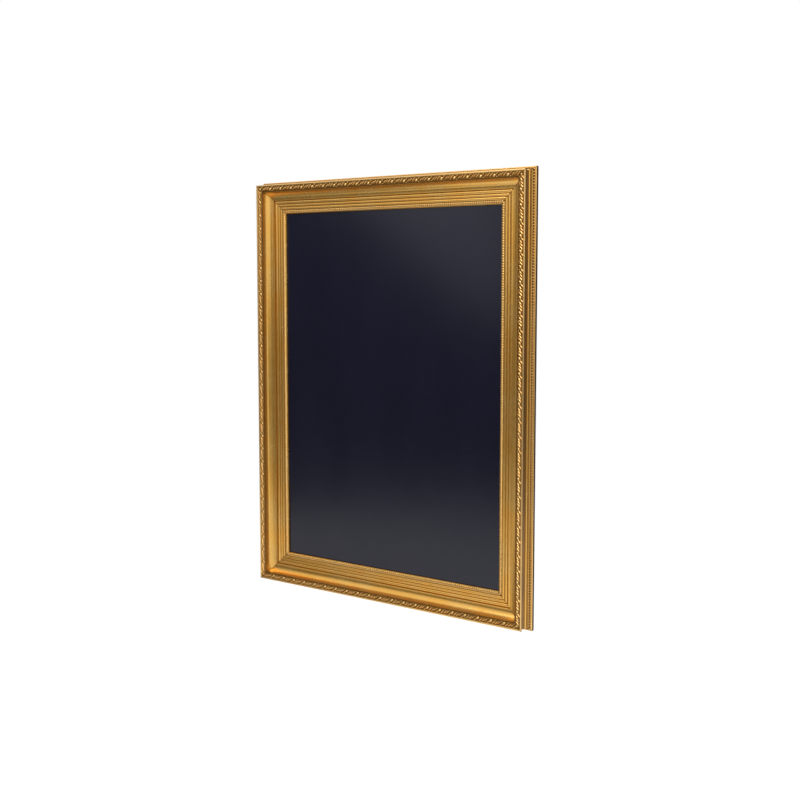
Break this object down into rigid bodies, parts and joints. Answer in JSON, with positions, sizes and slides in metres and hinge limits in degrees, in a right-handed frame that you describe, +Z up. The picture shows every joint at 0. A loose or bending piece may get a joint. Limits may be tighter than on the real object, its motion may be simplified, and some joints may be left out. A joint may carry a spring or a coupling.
{
  "type": "framed chalkboard",
  "caption": "Upright wall chalkboard: a black chalk panel in a deep mitred gilt moulding with leaf and bead ornament, hung from swinging D-rings.",
  "frame": {"origin": "on the wall plane, midway between the two wall hooks that the turned-up D-rings hang on", "axes": "+Z up the board, -Y out of the writing side into the room, +X to the right of someone reading it"},
  "size_m": [0.7356, 0.0512, 0.9826],
  "materials": {
    "gilt_moulding": "satin antique gold over gesso on wood, dark stained back edge",
    "chalk_surface": "satin black chalkboard paint on fibreboard",
    "point_steel": "plain spring steel",
    "nail_steel": "plain hardened steel",
    "nickel_strap": "nickel plated",
    "nickel_wire": "nickel plated",
    "screw_steel": "bright zinc plated",
    "bumper_rubber": "soft matt rubber"
  },
  "bodies": {
    "frame": {"rail_top": "gilt_moulding", "rail_right": "gilt_moulding", "rail_bottom": "gilt_moulding", "rail_left": "gilt_moulding", "chalk_panel": "chalk_surface", "point_top_1": "point_steel", "point_top_2": "point_steel", "point_top_3": "point_steel", "point_right_1": "point_steel", "point_right_2": "point_steel", "point_right_3": "point_steel", "point_right_4": "point_steel", "point_bottom_1": "point_steel", "point_bottom_2": "point_steel", "point_bottom_3": "point_steel", "point_left_1": "point_steel", "point_left_2": "point_steel", "point_left_3": "point_steel", "point_left_4": "point_steel", "v_nail_top_inner": "nail_steel", "v_nail_top_outer": "nail_steel", "v_nail_right_inner": "nail_steel", "v_nail_right_outer": "nail_steel", "v_nail_bottom_inner": "nail_steel", "v_nail_bottom_outer": "nail_steel", "v_nail_left_inner": "nail_steel", "v_nail_left_outer": "nail_steel", "strap_left": "nickel_strap", "strap_right": "nickel_strap", "screw_left_upper": "screw_steel", "screw_left_lower": "screw_steel", "screw_right_upper": "screw_steel", "screw_right_lower": "screw_steel", "bumper_left": "bumper_rubber", "bumper_right": "bumper_rubber"},
    "ring_left": {"ring_left": "nickel_wire"},
    "ring_right": {"ring_right": "nickel_wire"}
  },
  "joints": [
    {"name": "ring_left_swing", "type": "hinge", "parent": "frame", "child": "ring_left", "pos_m": [-0.3295, -0.0024, -0.0168], "axis": [1, 0, 0], "range_deg": [0, 180]},
    {"name": "ring_right_swing", "type": "hinge", "parent": "frame", "child": "ring_right", "pos_m": [0.3295, -0.0024, -0.0168], "axis": [1, 0, 0], "range_deg": [0, 180]}
  ]
}
